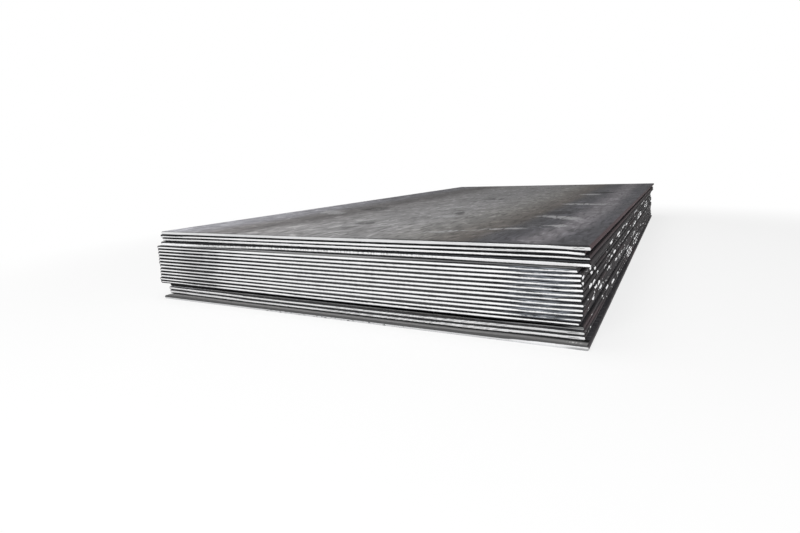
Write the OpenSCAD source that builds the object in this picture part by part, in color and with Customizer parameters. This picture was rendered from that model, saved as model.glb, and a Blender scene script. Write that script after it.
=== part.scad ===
// A squared stack of hot-rolled steel plates, laid face to face on the floor.
// Millimetres, +Z up. X runs across the plates, Y along the rolling direction, the front is at -Y.
// The origin is the middle of the lowest plate's underside.

/* [Plate] */
// Width of a plate, from one as-rolled long edge to the other
plate_w = 1250; // [800:10:2000]
// Length of a plate, from one sheared end to the other
plate_l = 2500; // [1500:50:6000]
// Thickness of a plate
plate_t = 10; // [5:0.5:25]

/* [Edges] */
// Radius that rolling leaves on the two long edges, as a share of the thickness
mill_round = 0.45; // [0.1:0.05:0.45]
// Radius of the corner that the shear blade drags over, as a share of the thickness
drag_round = 0.18; // [0.05:0.01:0.3]
// Share of the thickness that the blade cuts smooth, below the dragged corner
smooth_cut = 0.3; // [0.1:0.05:0.5]
// How far the torn rest of a sheared end leans back, as a share of the thickness
tear_lean = 0.05; // [0.01:0.01:0.15]

/* [Stack] */
// Number of plates in the stack
plate_count = 20; // [1:1:40]
// How uneven the stack is: 0 is squared and of equal widths, 1 is as set down by a crane
unevenness = 1; // [0:0.05:2]

/* [Hidden] */
$fn = 48;
mill_r = min(mill_round, 0.48) * plate_t;
drag_r = drag_round * plate_t;
smooth_h = smooth_cut * plate_t;
lean = tear_lean * plate_t;

// How each plate lies on the lowest one, from the bottom up:
// to the right, to the back, turn in degrees, and how much wider than plate_w it came off the mill
lay = [
    [0, 0, 0.15, -17],
    [-8, 27, 0, -18],
    [-10, 28, 0, -16],
    [-10, 32, 0, -20],
    [-27, 23, -0.14, 6],
    [-24, 18, -0.05, 4],
    [-22, 20, 0, 4],
    [-20, 18, -0.05, 2],
    [-19, 17, 0, 0],
    [-22, 19, 0, -3],
    [-21, 18, 0, 2],
    [-21, 18, 0, 0],
    [-22, 18, 0, -4],
    [-24, 19, 0, -4],
    [-21, 17, 0, -6],
    [-21, 13, -0.1, -16],
    [-16, 32, 0.05, 8],
    [-22, 46, 0, 15],
    [-29, 44, 0, 10],
    [-18, 41, -0.05, 12],
];

function plate_name(i) = str("plate_", i < 10 ? "0" : "", i);

// Section across a plate of width w: flat faces, long edges rounded off by the rolls.
module rolled_section(w) {
    translate([-w / 2 + mill_r, 0])
        square([w - 2 * mill_r, plate_t]);
    translate([-w / 2, mill_r])
        square([w, plate_t - 2 * mill_r]);
    for (x = [-1, 1], z = [mill_r, plate_t - mill_r])
        translate([x * (w / 2 - mill_r), z])
            circle(r = mill_r);
}

// One sheared end, seen from the side, with the metal to the right of it.
// From the top: the corner dragged over by the blade, the smooth cut, and the tear leaning back.
module sheared_end() {
    smooth_z = plate_t - drag_r - smooth_h;
    translate([drag_r, plate_t - drag_r])
        circle(r = drag_r);
    polygon([
        [0, plate_t - drag_r],
        [0, smooth_z],
        [lean, 0],
        [plate_l / 2, 0],
        [plate_l / 2, plate_t],
        [drag_r, plate_t],
    ]);
}

// Side view of the plate: the two ends are cut from opposite faces, so one is the other turned over.
module sheared_profile() {
    translate([-plate_l / 2, 0])
        sheared_end();
    translate([plate_l / 2, plate_t])
        rotate(180)
            sheared_end();
}

// One plate of width w, lying flat with its underside at z = 0.
module plate(w) {
    intersection() {
        rotate([90, 0, 0])
            linear_extrude(plate_l, center = true)
                rolled_section(w);
        rotate([90, 0, 90])
            linear_extrude(w, center = true)
                sheared_profile();
    }
}

// The plate at place i, counted from the bottom, lying face to face on the one below.
module laid_plate(i) {
    at = lay[(i - 1) % len(lay)] * unevenness;
    color("#75787b")
        translate([at[0], at[1], (i - 1) * plate_t])
            rotate(at[2])
                plate(plate_w + at[3]);
}

for (i = [1:plate_count])
    laid_plate(i);
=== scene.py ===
import math

import bmesh
import bpy
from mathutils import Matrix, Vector


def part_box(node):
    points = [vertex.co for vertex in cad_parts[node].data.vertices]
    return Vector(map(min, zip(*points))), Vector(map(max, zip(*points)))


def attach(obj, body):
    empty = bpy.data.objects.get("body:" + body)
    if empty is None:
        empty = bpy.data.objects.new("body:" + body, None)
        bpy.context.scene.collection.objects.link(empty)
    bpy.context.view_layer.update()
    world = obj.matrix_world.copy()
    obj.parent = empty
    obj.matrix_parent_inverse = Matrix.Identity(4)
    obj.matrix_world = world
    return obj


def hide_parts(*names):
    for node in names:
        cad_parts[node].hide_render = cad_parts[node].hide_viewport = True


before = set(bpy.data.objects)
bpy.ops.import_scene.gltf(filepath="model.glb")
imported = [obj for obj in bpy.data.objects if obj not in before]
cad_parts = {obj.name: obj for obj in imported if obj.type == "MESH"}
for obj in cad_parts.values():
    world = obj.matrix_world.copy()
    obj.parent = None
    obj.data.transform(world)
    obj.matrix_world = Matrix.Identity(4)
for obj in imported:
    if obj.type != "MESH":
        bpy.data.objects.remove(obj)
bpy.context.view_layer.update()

# The plate: hot-rolled steel, 10 mm thick, cut to length from a wide coil.
# The rolls leave its long edges rounded; the shear drags one corner of each end over,
# cuts a smooth band below it and tears the rest. One plate is modelled here and copied.
plate_w, plate_l, plate_t = 1.250, 2.500, 0.010
mill_r = 0.45 * plate_t
drag_r = 0.18 * plate_t
smooth_z = plate_t - drag_r - 0.30 * plate_t
lean = 0.05 * plate_t
rows = [0.0, 0.00025, 0.0009, 0.0018, 0.0032, 0.0048, 0.0052, 0.0068, 0.0082, 0.0091, 0.00975, plate_t]
rim = 0.015
tiny = 1e-5


def select(what, test):
    """Selects the vertices, edges or faces of the mesh in edit mode that pass the test."""
    bpy.ops.mesh.select_mode(type=what)
    bpy.ops.mesh.select_all(action="DESELECT")
    mesh = bpy.context.object.data
    shape = bmesh.from_edit_mesh(mesh)
    for item in {"VERT": shape.verts, "EDGE": shape.edges, "FACE": shape.faces}[what]:
        if test(item):
            item.select_set(True)
    shape.select_flush_mode()
    bmesh.update_edit_mesh(mesh)


def runs_along(edge, axis):
    """True for an edge parallel to that axis."""
    a, b = edge.verts[0].co, edge.verts[1].co
    return all(abs(a[k] - b[k]) < tiny for k in range(3) if k != axis)


def end_inset(height):
    """How far back a sheared end lies at this height above its torn side."""
    if height > plate_t - drag_r:
        rise = height - (plate_t - drag_r)
        return drag_r - math.sqrt(max(drag_r ** 2 - rise ** 2, 0.0))
    return lean * max(0.0, (smooth_z - height) / smooth_z)


def edge_inset(height):
    """How far in a rolled long edge lies at this height."""
    drop = mill_r - min(height, plate_t - height)
    return mill_r - math.sqrt(mill_r ** 2 - drop ** 2) if drop > 0 else 0.0


bpy.ops.object.select_all(action="DESELECT")
front_end = (0, -plate_l / 2, plate_t / 2)
bpy.ops.mesh.primitive_plane_add(size=1, location=front_end, rotation=(math.pi / 2, 0, 0))
master = bpy.context.object
bpy.ops.object.transform_apply(location=True, rotation=True, scale=True)
bpy.ops.object.mode_set(mode="EDIT")
bpy.ops.transform.resize(value=(plate_w, 1, plate_t), center_override=front_end)
for height in rows[1:-1]:
    bpy.ops.mesh.select_all(action="SELECT")
    bpy.ops.mesh.bisect(plane_co=(0, 0, height), plane_no=(0, 0, 1))
for cuts in (99, 1):
    select("EDGE", lambda e: runs_along(e, 0))
    bpy.ops.mesh.subdivide(number_cuts=cuts)
bpy.ops.mesh.select_all(action="SELECT")
bpy.ops.mesh.extrude_region_move(TRANSFORM_OT_translate={"value": (0, plate_l, 0)})
bpy.ops.mesh.select_all(action="SELECT")
bpy.ops.mesh.normals_make_consistent(inside=False)
for height in rows:
    select("VERT", lambda v: abs(v.co.z - height) < tiny and abs(v.co.x) > plate_w / 2 - tiny)
    bpy.ops.transform.resize(
        value=(1 - edge_inset(height) / (plate_w / 2), 1, 1), center_override=(0, 0, height))
    select("VERT", lambda v: abs(v.co.z - height) < tiny and v.co.y < 0)
    bpy.ops.transform.translate(value=(0, end_inset(height), 0))
    select("VERT", lambda v: abs(v.co.z - height) < tiny and v.co.y > 0)
    bpy.ops.transform.translate(value=(0, -end_inset(plate_t - height), 0))
for y in (-plate_l / 2 + rim, plate_l / 2 - rim):
    bpy.ops.mesh.select_all(action="SELECT")
    bpy.ops.mesh.bisect(plane_co=(0, y, 0), plane_no=(0, 1, 0))
for cuts in (99, 2):
    select("EDGE", lambda e: runs_along(e, 1) and max(abs(v.co.y) for v in e.verts) < plate_l / 2 - rim + tiny
           and min(abs(v.co.x) for v in e.verts) > plate_w / 2 - mill_r - tiny)
    bpy.ops.mesh.subdivide(number_cuts=cuts)


# The finishes of the plate: mill scale on the two faces, the same scale scuffed off
# in flecks on the long edges, and bare cut steel on the two sheared ends.
class Socket:
    """An output of a shader node. Arithmetic on it adds Math nodes."""

    def __init__(self, tree, output):
        self.tree = tree
        self.output = output

    def add(self, kind, settings, sockets, out=0):
        """Adds a node: its settings first, then the values or links of its sockets."""
        node = self.tree.nodes.new(kind)
        for name, value in settings.items():
            if name == "stops":
                ramp = node.color_ramp.elements
                while len(ramp) < len(value):
                    ramp.new(1.0)
                for stop, (position, colour) in zip(ramp, value):
                    stop.position = position
                    stop.color = (*colour, 1)
            else:
                setattr(node, name, value)
        for name, value in sockets.items():
            if isinstance(value, Socket):
                self.tree.links.new(value.output, node.inputs[name])
            else:
                node.inputs[name].default_value = value
        return Socket(self.tree, node.outputs[out]) if node.outputs else None

    def other(self, name):
        """Another output of the same node."""
        return Socket(self.tree, self.output.node.outputs[name])

    def math(self, operation, a, b=0.0):
        return self.add("ShaderNodeMath", {"operation": operation}, {0: a, 1: b})

    def __add__(self, b):
        return self.math("ADD", self, b)

    def __radd__(self, a):
        return self.math("ADD", a, self)

    def __sub__(self, b):
        return self.math("SUBTRACT", self, b)

    def __rsub__(self, a):
        return self.math("SUBTRACT", a, self)

    def __mul__(self, b):
        return self.math("MULTIPLY", self, b)

    def __rmul__(self, a):
        return self.math("MULTIPLY", a, self)

    def __truediv__(self, b):
        return self.math("DIVIDE", self, b)

    def __gt__(self, b):
        return self.math("GREATER_THAN", self, b)

    def __lt__(self, b):
        return self.math("LESS_THAN", self, b)


def fade(value, start, end):
    """Rises smoothly from 0 at start to 1 at end."""
    return value.add("ShaderNodeMapRange", {"interpolation_type": "SMOOTHSTEP"},
                     {"Value": value, "From Min": start, "From Max": end})


def between(value, low, high, soft):
    """1 from low to high, fading out over soft at both ends."""
    return fade(value, low - soft, low + soft) * fade(value, high + soft, high - soft)


def noise(place, stretch, detail=2.0, shift=0.0, twist=0.0):
    """Cloudy values round 0.5; stretch gives the clouds per metre along each axis."""
    at = place.add("ShaderNodeMapping", {},
                   {"Vector": place, "Location": (shift, shift, shift), "Scale": stretch})
    return place.add("ShaderNodeTexNoise", {},
                     {"Vector": at, "Scale": 1.0, "Detail": detail, "Distortion": twist})


def patch(a, b, at_a, at_b, half_a, half_b):
    """1 in the middle of an oval, fading to 0 at its outline."""
    da = (a - at_a) / half_a
    db = (b - at_b) / half_b
    return fade(da * da + db * db, 1.0, 0.2)


def mix(share, a, b):
    """Colour a, with this share of colour b."""
    return share.add("ShaderNodeMix", {"data_type": "RGBA"}, {0: share, 6: a, 7: b}, out=2)


def shade(colour, level):
    """The colour made lighter or darker."""
    return level.add("ShaderNodeVectorMath", {"operation": "SCALE"}, {0: colour, "Scale": level})


def bump(height, strength, distance):
    """Tilts the normals as if the surface rose by this distance where the height is 1."""
    return height.add("ShaderNodeBump", {}, {"Strength": strength, "Distance": distance, "Height": height})


def new_finish(name):
    """A new material and the place of a point on the piece, whole and as x, y and z."""
    finish = bpy.data.materials.new(name)
    finish.use_nodes = True
    finish.node_tree.nodes.clear()
    coordinates = finish.node_tree.nodes.new("ShaderNodeTexCoord")
    place = Socket(finish.node_tree, coordinates.outputs["Object"])
    x = place.add("ShaderNodeSeparateXYZ", {}, {"Vector": place})
    return finish, place, x, x.other("Y"), x.other("Z")


def surface(place, **sockets):
    """Closes a material with its shader."""
    named = {name.replace("_", " "): value for name, value in sockets.items()}
    shader = place.add("ShaderNodeBsdfPrincipled", {}, named)
    place.add("ShaderNodeOutputMaterial", {}, {"Surface": shader})


# Mill scale, the skin that hot rolling leaves on a face: bands of tone run the length of the plate,
# clouded, streaked, scratched and wiped.
mill_scale, place, x, y, z = new_finish("mill_scale")
wander = noise(place, (1.2, 1.4, 40.0), detail=3.0)
clouds = noise(place, (7.0, 6.0, 300.0), detail=6.0, twist=0.7)
wisps = noise(place, (26.0, 14.0, 300.0), detail=4.0, shift=4.0, twist=1.0)
streaks = noise(place, (45.0, 0.9, 900.0), detail=3.0)
grain = noise(place, (420.0, 260.0, 300.0), detail=2.0)
flow = noise(place, (95.0, 17.0, 300.0), detail=3.0, shift=9.0, twist=0.8)
across = (x + (wander - 0.5) * 0.06 + (wisps - 0.5) * 0.03
          + 0.02 * (fade(y, -0.85, -1.10) + fade(y, 0.10, 0.60)))
slate = (0.134, 0.133, 0.144)
dull_brown = (0.090, 0.086, 0.086)
warm_grey = (0.188, 0.185, 0.187)
brown_band = (0.084, 0.075, 0.069)
dark_blue = (0.058, 0.057, 0.064)
mauve_streak = (0.145, 0.138, 0.148)
bands = [
    (-0.63, slate), (-0.54, slate), (-0.42, dull_brown), (-0.36, dull_brown),
    (-0.27, (0.162, 0.158, 0.159)), (-0.12, warm_grey), (0.08, (0.178, 0.175, 0.177)),
    (0.22, (0.170, 0.166, 0.161)), (0.30, (0.116, 0.108, 0.101)), (0.36, brown_band),
    (0.40, (0.053, 0.052, 0.056)), (0.46, dark_blue), (0.51, mauve_streak), (0.54, mauve_streak),
    (0.58, dark_blue), (0.63, dark_blue),
]
half = 0.65
scale_colour = place.add(
    "ShaderNodeValToRGB", {"stops": [((at + half) / (2 * half), colour) for at, colour in bands]},
    {"Fac": (across + half) / (2 * half)})
near_front = fade(y, -0.85, -1.08)
# The face is lighter towards the front and the left: partly its own tone, partly painted sheen.
front_sheen_and_tone = (0.30 * fade(y, 0.5, -1.2) * fade(x, 0.30, 0.05)
              + 0.85 * fade(y, 0.2, -1.1) * fade(x, -0.34, -0.52)
              + 0.40 * fade(y, 0.15, -0.15) * fade(x, -0.50, -0.58)
              + 0.40 * near_front * between(x, -0.44, -0.16, 0.10)
              + 0.30 * near_front * between(x, -0.50, -0.32, 0.08))
tone = ((0.45 + 1.10 * clouds) * (0.55 + 0.90 * wisps) * (0.45 + 1.10 * flow) * (0.84 + 0.32 * streaks)
        * (0.85 + 0.3 * grain) * (1 + front_sheen_and_tone))
tone = tone * (1 + 0.26 * fade(wisps, 0.57, 0.63)) * (1 - 0.22 * fade(flow, 0.44, 0.38))
turned = place.add("ShaderNodeMapping", {}, {"Vector": place, "Rotation": (0, 0, 1.25)})
hairline = noise(turned, (120.0, 3.0, 700.0), detail=1.0, twist=0.3)
scratch = (fade(hairline.math("ABSOLUTE", hairline - 0.5), 0.016, 0.004)
           * fade(noise(place, (4.0, 3.0, 90.0), shift=3.0), 0.52, 0.62))
warped_x = x + (clouds - 0.5) * 0.10 + (flow - 0.5) * 0.05
warped_y = y + (wander - 0.5) * 0.2 + (wisps - 0.5) * 0.10


def wipe(at_x, at_y, half_long, half_wide, tilt):
    """A ragged oval wiped across the scale, its long way tilted this many degrees from the x axis."""
    c, s = math.cos(math.radians(tilt)), math.sin(math.radians(tilt))
    along = (warped_x - at_x) * c + (warped_y - at_y) * s
    aside = (warped_y - at_y) * c - (warped_x - at_x) * s
    along, aside = along / half_long, aside / half_wide
    return fade(along * along + aside * aside, 1.25, 0.20)


pale_wipes = [
    (0.465, -0.70, 0.095, 0.034, -35), (0.46, -0.24, 0.100, 0.040, -10), (0.48, -0.90, 0.050, 0.026, 0),
    (0.24, -1.05, 0.080, 0.020, 38), (0.36, -0.97, 0.070, 0.020, 30), (0.00, -0.38, 0.070, 0.035, 0),
    (0.09, -0.71, 0.050, 0.030, 20), (-0.445, -0.59, 0.110, 0.045, -47), (0.39, 0.32, 0.060, 0.050, 0),
]
dark_wipes = [
    (0.43, 0.46, 0.060, 0.070, 0), (0.42, 0.44, 0.050, 0.060, 0), (0.01, 0.05, 0.080, 0.050, -10),
    (-0.08, -0.91, 0.050, 0.030, -40), (0.11, -0.62, 0.060, 0.024, -60),
    (-0.33, -0.45, 0.100, 0.060, -60), (0.43, -0.55, 0.050, 0.060, 0),
]
pale = scratch * 0.35 + sum(wipe(*one) for one in pale_wipes) * 0.68 * fade(flow, 0.32, 0.48)
dark = sum(wipe(*one) for one in dark_wipes) * 0.55 * fade(wisps, 0.70, 0.52)
dark = dark.math("MINIMUM", dark, 0.75)
scale_colour = mix(pale, shade(scale_colour, tone * (1 - dark)), (0.36, 0.36, 0.365, 1))


# Strips of face at the front, most of them open because the plates above lie further back: the rim of plate
# 20, a painted shadow on plate 17 with its bluish lip, and painted light and shade on the ledges of plate 16
# and plate 1, with a painted glint near plate 1's right corner.
def ledge(plate, back):
    """1 on a plate's upper face in front of this place, coming in over 10 mm."""
    top = plate * plate_t
    return between(z, top - 0.0005, top + 0.0005, 0.0002) * fade(y, back, back - 0.010)


top_rim = ledge(20, -1.190) * fade(x, -0.05, 0.25)
# Painted shadow: plate 17's open face made near-black, with a bluish lip at the front towards the right.
painted_gap_shadow = ledge(17, -1.190)
scale_colour = mix(painted_gap_shadow + top_rim * 0.60, scale_colour, (0.003, 0.003, 0.004, 1))
blue_lip = painted_gap_shadow * fade(x, 0.15, 0.40) * fade(y, -1.209, -1.214)
scale_colour = mix(blue_lip, scale_colour, (0.085, 0.092, 0.105, 1))
# Painted light and shade on plate 16's ledge.
lit = (0.10 + 0.90 * fade(y, -1.221, -1.233)) * (0.45 + 0.55 * between(x, -0.30, 0.25, 0.15))
lit = lit + fade(x, -0.42, -0.54) * (0.10 + 1.90 * fade(y, -1.228, -1.222) - lit)
scale_colour = mix(ledge(16, -1.195), scale_colour, shade((0.34, 0.34, 0.345), lit))
# Painted light and shade on plate 1's ledge, darkest by the foot of plate 2, and a painted glint near its
# right corner.
glint = (between(x, 0.578, 0.602, 0.008) * between(y, -1.240, -1.232, 0.003)
         * fade(noise(place, (190.0, 30.0, 300.0), shift=2.0), 0.42, 0.56))
behind = y - 0.006 * fade(x, 0.33, 0.50) - 0.004 * fade(x, -0.34, -0.50)
lit = (0.03 + 0.97 * fade(behind, -1.228, -1.240)) * (1 - 0.45 * fade(behind, -1.241, -1.251))
scale_colour = mix(ledge(1, -1.205), scale_colour, shade((0.265, 0.262, 0.262), lit + 1.10 * glint))
surface(place, Base_Color=scale_colour, Roughness=0.62 + 0.22 * clouds, Specular_IOR_Level=0.08,
        Normal=bump(grain, 0.08, 0.0004))

# Mill edge, the rounded long side of a plate: dark scale with some rust, knocked bright in flecks.
# On the right the flecks sit where the photo has them; the unseen left side has fewer.
mill_edge, place, x, y, z = new_finish("mill_edge")
level = z / plate_t
height = level.math("FRACT", level)
patchy = noise(place, (30.0, 9.0, 160.0), detail=4.0)
fine = noise(place, (300.0, 90.0, 400.0), detail=2.0)
rust = (0.5 * fade(noise(place, (20.0, 3.0, 60.0), detail=3.0, shift=7.0), 0.52, 0.70)
        + 0.9 * fade(z, 0.165, 0.190))
edge_colour = mix(rust, (0.050, 0.046, 0.049, 1), (0.122, 0.082, 0.088, 1))
mottled = (0.6 + 0.8 * patchy) * (0.8 + 0.4 * fine) * (1 - 0.35 * fade(y, -0.3, 0.9))
# Painted shade in the grooves between plates: each edge darker towards its rims, except at the foot of the
# stack. The lowest plates' edges are lightened as painted light.
bulge = between(height, 0.14, 0.86, 0.08)
groove_shade = 0.50 + 0.55 * bulge + 0.50 * fade(z, 0.006, 0.003)
low_painted_light = 1 + 0.50 * fade(z, 0.045, 0.035) + 0.60 * fade(z, 0.012, 0.008)
edge_colour = shade(edge_colour, mottled * groove_shade * low_painted_light)
dings = [
    (-1.208, 0.136, 0.012, 0.006), (-1.218, 0.126, 0.010, 0.006), (-1.106, 0.127, 0.016, 0.006),
    (-1.130, 0.146, 0.016, 0.005), (-1.113, 0.137, 0.012, 0.005), (-1.057, 0.127, 0.014, 0.006),
    (-1.037, 0.113, 0.014, 0.006), (-1.145, 0.106, 0.024, 0.005), (-1.100, 0.104, 0.024, 0.005),
    (-1.070, 0.090, 0.024, 0.007), (-1.026, 0.084, 0.024, 0.005), (-0.981, 0.069, 0.026, 0.007),
    (-1.099, 0.070, 0.018, 0.006), (-0.912, 0.102, 0.030, 0.005), (-0.830, 0.085, 0.026, 0.005),
    (-0.856, 0.060, 0.020, 0.005), (-0.780, 0.103, 0.034, 0.006), (-0.705, 0.106, 0.030, 0.005),
    (-0.740, 0.139, 0.030, 0.010), (-0.853, 0.036, 0.030, 0.007), (-0.735, 0.026, 0.036, 0.007),
    (-0.617, 0.024, 0.030, 0.006), (-0.948, 0.034, 0.016, 0.005), (-0.660, 0.075, 0.034, 0.005),
    (-0.574, 0.073, 0.036, 0.005), (-0.502, 0.072, 0.034, 0.005), (-0.545, 0.134, 0.062, 0.008),
    (-0.417, 0.142, 0.046, 0.006), (-0.293, 0.133, 0.046, 0.006), (-0.433, 0.099, 0.046, 0.006),
    (-0.280, 0.102, 0.070, 0.007),
]
knocks = [
    (-0.22, 0.030, 0.16, 0.024), (0.00, 0.100, 0.12, 0.014), (-0.05, 0.068, 0.12, 0.009),
    (0.10, 0.030, 0.20, 0.020), (0.09, 0.149, 0.11, 0.013), (0.28, 0.110, 0.14, 0.018),
    (0.50, 0.149, 0.18, 0.009), (0.75, 0.116, 0.20, 0.016),
]
knocked = 0.42 * sum(patch(y, z, *one) for one in dings) + 0.22 * sum(patch(y, z, *one) for one in knocks)
short_flecks = noise(place, (1.0, 52.0, 118.0), detail=1.0, shift=5.0)
long_flecks = noise(place, (1.0, 30.0, 118.0), detail=1.0, shift=5.0)
flecks = short_flecks + fade(y, -0.40, -0.20) * (long_flecks - short_flecks)
flecks = flecks + knocked * (0.45 + 0.55 * (x > 0))
ragged = noise(place, (1.0, 150.0, 420.0), detail=2.0, shift=9.0)
bare = (fade(flecks + 0.22 * (ragged - 0.5), 0.700, 0.712)
        * between(height + 0.3 * (ragged - 0.5), 0.12, 0.90, 0.05)
        * fade(z, 0.160, 0.157) * fade(z, 0.011, 0.012) * fade(y, -1.230, -1.222))
surface(place, Base_Color=mix(bare, edge_colour, (0.95, 0.96, 0.97, 1)), Metallic=bare,
        Roughness=0.70 - 0.45 * bare, Specular_IOR_Level=0.1, Normal=bump(patchy + 0.4 * fine, 0.2, 0.0004))

# Cut steel, the sheared end of a plate: a bright band between two dark rims, with drag marks near the right.
# The rims differ along the ends and from plate to plate, so they are given in rows: an amount,
# where along the end it holds, and the first and last plate it is for.
cut_steel, place, x, y, z = new_finish("cut_steel")
level = z / plate_t
height = level.math("FRACT", level)
far_end = y > 0
height = height + far_end * (1 - 2 * height)
number = level.math("FLOOR", level) + 1
from_edge = place.add("ShaderNodeAttribute", {"attribute_name": "from_edge"}, {}, out="Fac") / plate_t


def on_plates(first, last):
    """1 on the ends of these plates, counted from the bottom."""
    return (number > first - 0.5) * (number < last + 0.5)


def per_plate(entries):
    """Adds up rows of an amount, where it holds, and the first and last plate it is for."""
    return sum(amount * where * on_plates(first, last) for amount, where, first, last in entries)


round_share = mill_r / plate_t
in_x = from_edge.math("MAXIMUM", round_share - 0.15 - 0.12 * on_plates(18, 19) - from_edge, 0.0)
in_z = height.math("MAXIMUM", round_share - height.math("MINIMUM", height, 1 - height), 0.0)
depth = round_share - in_x.math("SQRT", in_x * in_x + in_z * in_z)
sway = noise(place, (22.0, 1.0, 45.0), detail=2.0) - 0.5
jag = noise(place, (160.0, 1.0, 60.0), detail=3.0) - 0.5
lines = noise(place, (900.0, 1.0, 25.0), detail=2.0)
cloud = noise(place, (9.0, 1.0, 90.0), detail=3.0, shift=2.0)
upper = fade(height, 0.36, 0.46)
everywhere = 1.0
far_left = fade(x, -0.50, -0.58)
left_part = fade(x, -0.30, -0.44)
left_middle = between(x, -0.40, 0.05, 0.10)
wide_middle = between(x, -0.36, 0.34, 0.10)
middle = between(x, -0.20, 0.38, 0.12)
right_half = fade(x, 0.10, 0.40)
right_part = fade(x, 0.40, 0.55)
far_right = fade(x, 0.52, 0.58)
tip = fade(x, 0.56, 0.60)
bow_left = fade(x, -0.15, -0.50)
bow_right = fade(x, 0.20, 0.50)
smudged = between(x + 0.10 * sway, -0.54, -0.41, 0.04)
drag_zone = between(x + 0.08 * sway, 0.455, 0.578, 0.035)
beads = fade(noise(place, (230.0, 1.0, 60.0), shift=6.0), 0.40, 0.54)
bead_gaps = between(x, -0.46, 0.28, 0.08) * (1 - beads)
lower = per_plate([
    (0.12, wide_middle, 2, 2), (-0.16, right_part, 2, 2), (-0.07, far_left, 2, 3), (0.13, wide_middle, 3, 3),
    (-0.12, right_part, 3, 4), (0.06, middle, 5, 5), (-0.06, right_part, 5, 5), (-0.06, far_right, 5, 5),
    (0.07, middle, 6, 15), (0.08, far_left, 18, 19),
])
dark_top = 0.36 + lower + per_plate([
    (0.20, everywhere, 1, 1), (-0.28, right_part, 1, 1), (-0.08, tip, 2, 2), (0.03, everywhere, 5, 5),
    (0.04, right_part, 5, 5), (0.03, left_part, 5, 19), (0.03, smudged, 5, 16), (0.12, drag_zone, 6, 16),
    (-0.02, right_part, 6, 16), (-0.05, tip, 6, 15), (0.03, drag_zone, 16, 16), (-0.14, everywhere, 17, 17),
    (0.04, right_part, 17, 17), (0.08, far_right, 17, 17), (0.19, bow_left, 17, 17),
    (0.05, bow_right, 17, 17), (0.05, bead_gaps, 17, 17), (-0.06, everywhere, 18, 18),
    (-0.03, left_middle, 18, 18), (0.05, right_part, 18, 18), (0.05, far_right, 18, 18), (0.04, tip, 18, 18),
    (-0.05, right_half, 19, 19), (-0.06, right_part, 19, 19), (0.20, tip, 19, 19),
    (-0.26, everywhere, 20, 20), (0.13, far_right, 20, 20),
])
dark_low = 0.18 - lower + per_plate([
    (-0.15, everywhere, 1, 1), (-0.05, everywhere, 2, 2), (0.05, right_part, 2, 2), (-0.12, middle, 2, 3),
    (0.04, far_left, 2, 3), (-0.20, everywhere, 4, 4), (0.06, right_part, 4, 4), (-0.01, everywhere, 5, 5),
    (0.10, far_left, 5, 5), (0.05, right_half, 5, 5), (0.05, right_part, 5, 5), (0.06, left_part, 5, 19),
    (0.08, right_part, 5, 20), (0.06, everywhere, 6, 6), (0.12, right_part, 6, 6), (0.05, tip, 6, 15),
    (0.02, right_half, 16, 16), (-0.05, tip, 16, 16), (0.14, everywhere, 17, 17), (-0.42, bow_left, 17, 17),
    (-0.26, bow_right, 17, 17), (-0.10, fade(x, 0.46, 0.54), 17, 17), (0.03, everywhere, 18, 18),
    (-0.03, left_part, 18, 18), (0.09, right_half, 18, 18), (-0.06, far_right, 18, 18),
    (-0.10, tip, 18, 20), (0.14, right_half, 19, 19), (-0.13, far_right, 19, 19), (-0.06, tip, 19, 19),
    (0.04, everywhere, 20, 20), (-0.06, far_left, 20, 20), (0.10, right_half, 20, 20),
    (-0.16, far_right, 20, 20),
])
dark_rim = dark_low + upper * (dark_top - dark_low)
cut = fade(depth - dark_rim + 0.08 * sway + 0.08 * jag, -0.04, 0.03)
torn = fade(height + 0.10 * jag, 0.36, 0.10)
torn = torn * (1 - per_plate([(1.0, everywhere, 2, 3), (1.0, bow_left, 17, 17), (1.0, bow_right, 17, 17)]))
steel = mix(torn, (0.96, 0.96, 0.97, 1), (0.80, 0.81, 0.83, 1))
near_tip = between(from_edge, 1.2, 3.4, 0.3) * (x > 0)
nicks = between(height + 0.25 * jag, 0.48, 0.60, 0.04) * per_plate([
    (1.0, near_tip, 2, 3), (1.0, near_tip, 18, 18), (1.0, between(x, 0.36, 0.49, 0.03), 19, 19),
    (1.0, near_tip, 20, 20),
])
# Plate 4's end lies back under plate 5: it is darkened all over and more where plate 5 overhangs it, as
# painted shade.
overhung = fade(height - 0.22 * right_part, -0.02, 0.24) * (1 - 0.45 * tip)
shadow = 0.30 * right_part + (0.74 - 0.30 * right_part) * overhung
soot = fade(noise(place, (120.0, 1.0, 300.0), shift=13.0), 0.58, 0.64) * between(x, -0.25, 0.22, 0.08)
top_third = fade(height, 0.60, 0.95)
dim = 1 - 0.65 * nicks - per_plate([
    (0.35, everywhere, 1, 1), (-0.18, right_part, 1, 1), (0.42, tip * fade(height, 0.60, 0.35), 1, 1),
    (0.50, soot, 1, 1), (0.12, right_part, 2, 2), (0.12, far_left, 2, 3), (0.26, fade(x, 0.36, 0.50), 3, 3),
    (0.26, everywhere, 4, 4), (1.0, shadow, 4, 4), (0.20, smudged, 5, 16), (0.26, bead_gaps, 17, 17),
    (0.20, everywhere, 20, 20), (0.30, top_third, 20, 20), (0.22, top_third * right_half, 20, 20),
    (0.12, top_third * right_part, 20, 20),
])
slanted = place.add("ShaderNodeMapping", {}, {"Vector": place, "Rotation": (0, 0.35, 0)})
hatch = noise(slanted, (40.0, 1.0, 420.0), detail=1.0, shift=11.0) * between(x, -0.10, 0.50, 0.10)
hatched = fade(hatch * on_plates(2, 3), 0.48, 0.56)
steel = shade(steel, (0.90 + 0.20 * lines) * (0.88 + 0.24 * cloud) * (1 - 0.30 * hatched) * dim)
drag = noise(place, (30.0, 1.0, 520.0), detail=2.0, shift=8.0)
grey_drag = shade((0.138, 0.148, 0.164), 0.15 + 1.45 * fade(drag, 0.34, 0.68))
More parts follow.
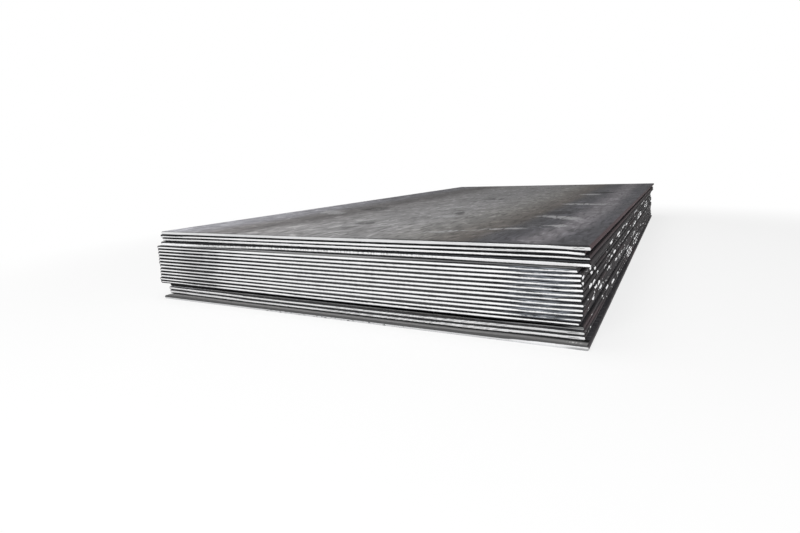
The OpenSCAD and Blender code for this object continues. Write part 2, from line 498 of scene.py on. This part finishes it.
dragged = per_plate([(1.0, drag_zone, 6, 16), (-1.0, drag_zone * fade(height, 0.32, 0.18), 6, 6)])
# The dark rims: dragged-over scale and torn burr made near-black, partly their own dark scale and partly
# painted shade of the gaps between plates. Some plates get paler rims, with less of that painted shade.
rim_scale_and_gap_shade = mix(dragged * fade(height, 0.93, 0.84), (0.012, 0.012, 0.013, 1), grey_drag)
paler_rim = per_plate([
    (0.35, everywhere, 1, 1), (0.12, everywhere, 2, 3), (0.12, middle, 6, 15),
    (0.80, upper * between(x, -0.25, 0.18, 0.15), 16, 16),
])
rim_scale_and_gap_shade = mix(paler_rim, rim_scale_and_gap_shade, (0.20, 0.20, 0.20, 1))
sheltered = per_plate([(0.75, everywhere, 1, 3), (0.25, everywhere, 2, 2), (1.0, everywhere, 17, 18)])
surface(place, Base_Color=mix(cut, rim_scale_and_gap_shade, steel), Metallic=cut * (1 - sheltered),
        Roughness=0.60 - 0.26 * cut + 0.10 * torn, Specular_IOR_Level=0.1,
        Normal=bump(lines + jag, 0.15, 0.0003))

# Where the finishes go: each face gets one by its place on the plate. Every point keeps its distance
# from the nearer long edge, by which cut steel rounds off its bright band.
for finish in (mill_scale, mill_edge, cut_steel):
    master.data.materials.append(finish)
for slot, test in ((1, lambda f: abs(f.calc_center_median().x) > plate_w / 2 - mill_r),
                   (2, lambda f: abs(f.calc_center_median().y) > plate_l / 2 - drag_r)):
    select("FACE", test)
    master.active_material_index = slot
    bpy.ops.object.material_slot_assign()
bpy.ops.object.mode_set(mode="OBJECT")
edge_distance = master.data.attributes.new("from_edge", "FLOAT", "POINT")
edge_distance.data.foreach_set("value", [plate_w / 2 - abs(v.co.x) for v in master.data.vertices])

# How the plates lie: set down by a crane one on another, a little out of line and out of square.
# Rolled edges leave each plate a few millimetres wider or narrower than the next,
# and handling and shearing leave the edges slightly wavy.
turns = [0.15, 0, 0, 0, -0.14, -0.05, 0, -0.05, 0, 0, 0, 0, 0, 0, 0, -0.1, 0.05, 0, 0, -0.05]
inside = 0.0004
end_zone = 0.9 * rim
lip = 0.0011
group_names = ("front", "back", "lip_top", "lip_low", "right", "left")
groups = {name: master.vertex_groups.new(name=name) for name in group_names}
for v in master.data.vertices:
    px, py, pz = v.co
    if abs(py) > plate_l / 2 - end_zone:
        groups["front" if py < 0 else "back"].add([v.index], 1.0, "REPLACE")
        if pz > plate_t - lip:
            groups["lip_top"].add([v.index], 1.0, "REPLACE")
        if pz < lip:
            groups["lip_low"].add([v.index], 1.0, "REPLACE")
    elif abs(px) > plate_w / 2 - mill_r:
        bulge = max(0.0, 1 - abs(pz - plate_t / 2) / mill_r)
        groups["right" if px > 0 else "left"].add([v.index], min(1.0, 1.6 * bulge), "REPLACE")
waves = bpy.data.textures.new("end_waves", type="CLOUDS")
waves.noise_scale = 0.07
waves.noise_depth = 3
dents = bpy.data.textures.new("edge_dents", type="CLOUDS")
dents.noise_scale = 0.04
dents.noise_depth = 2
dents.contrast = 2.0
dents.use_clamp = True
wear = [
    ("front", "Y", 0.0007, waves), ("back", "Y", -0.0007, waves), ("lip_top", "Z", -0.0003, waves),
    ("lip_low", "Z", 0.0003, waves), ("right", "X", -0.0004, dents), ("left", "X", 0.0004, dents),
]
for i, turn in enumerate(turns, start=1):
    node = f"plate_{i:02d}"
    low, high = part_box(node)
    angle = math.radians(turn)
    width = (high.x - low.x - plate_l * math.sin(abs(angle))) / math.cos(angle) - inside
    bpy.ops.object.select_all(action="DESELECT")
    bpy.context.view_layer.objects.active = master
    master.select_set(True)
    bpy.ops.object.duplicate()
    plate = bpy.context.object
    plate.name = f"rolled_{node}"
    plate.scale = (width / plate_w, 1 - inside / plate_l, 1)
    plate.rotation_euler = (0, 0, angle)
    plate.location = ((low.x + high.x) / 2, (low.y + high.y) / 2, low.z)
    bpy.ops.object.transform_apply(location=True, rotation=True, scale=True)
    for group, direction, strength, texture in wear:
        push = plate.modifiers.new(group, "DISPLACE")
        push.vertex_group = group
        push.direction = direction
        push.strength = strength
        push.mid_level = 0.0
        push.texture = texture
        push.texture_coords = "GLOBAL"
        bpy.ops.object.modifier_apply(modifier=push.name)
    plate.vertex_groups.clear()
    bpy.ops.object.shade_smooth_by_angle(angle=math.radians(35))
    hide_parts(node)
    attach(plate, "root")
bpy.data.objects.remove(master)

# The studio: a plain pale floor running out to white, soft light from above and from the front,
# and surroundings that are white to the camera and in reflections but light the stack only softly.
bpy.ops.object.select_all(action="DESELECT")
bpy.ops.mesh.primitive_plane_add(size=80, location=(0, 0, -0.0003))
floor = bpy.context.object
floor.name = "floor"
pale_floor, place, x, y, z = new_finish("pale_floor")
away = x.math("SQRT", x * x + y * y)


def seen_white(ray):
    """1 for what the camera sees, straight, mirrored or through something."""
    seen = ray.math("MAXIMUM", ray, ray.other("Is Glossy Ray"))
    return ray.math("MAXIMUM", seen, ray.other("Is Transmission Ray"))


ray = place.add("ShaderNodeLightPath", {}, {}, out="Is Camera Ray")
diffuse = place.add("ShaderNodeBsdfDiffuse", {}, {"Color": (0.86, 0.86, 0.86, 1)})
white = place.add("ShaderNodeEmission", {}, {"Color": (1, 1, 1, 1), "Strength": 1.0})
share = seen_white(ray) * (0.78 + 0.22 * fade(away, 1.3, 2.4))
blend = place.add("ShaderNodeMixShader", {}, {0: share, 1: diffuse, 2: white})
place.add("ShaderNodeOutputMaterial", {}, {"Surface": blend})
floor.data.materials.append(pale_floor)

world = bpy.data.worlds.new("white_surroundings")
bpy.context.scene.world = world
world.use_nodes = True
world.node_tree.nodes.clear()
light_path = world.node_tree.nodes.new("ShaderNodeLightPath")
ray = Socket(world.node_tree, light_path.outputs["Is Camera Ray"])
ambient = 0.30
strength = ambient + (1 - ambient) * seen_white(ray)
sky = ray.add("ShaderNodeBackground", {}, {"Color": (1, 1, 1, 1), "Strength": strength})
ray.add("ShaderNodeOutputWorld", {}, {"Surface": sky})


def soft_lamp(name, place, aim, size, power):
    """A square soft box turned to face a point."""
    lamp = bpy.data.objects.new(name, bpy.data.lights.new(name, "AREA"))
    bpy.context.collection.objects.link(lamp)
    lamp.data.size = size
    lamp.data.energy = power
    lamp.location = place
    lamp.rotation_euler = (lamp.location - Vector(aim)).to_track_quat("Z", "Y").to_euler()
    return lamp


soft_lamp("front_lamp", (0.4, -3.4, 1.5), (0.1, -1.0, 0.1), 1.6, 55.0)
soft_lamp("overhead_lamp", (-0.9, -0.6, 3.2), (0.0, -0.2, 0.1), 2.4, 45.0)

# The camera stands where the photo was taken from: its place, turn and lens are fitted
# to the edges of the stack.
camera = bpy.data.objects.new("camera", bpy.data.cameras.new("camera"))
bpy.context.collection.objects.link(camera)
camera.data.sensor_fit = "HORIZONTAL"
camera.data.sensor_width = 36.0
camera.data.lens = 23.145
camera.location = (0.7581, -2.2495, 0.3682)
camera.rotation_euler = [math.radians(a) for a in (78.93, 2.366, 28.256)]
bpy.context.scene.camera = camera
bpy.context.scene.view_settings.view_transform = "Standard"
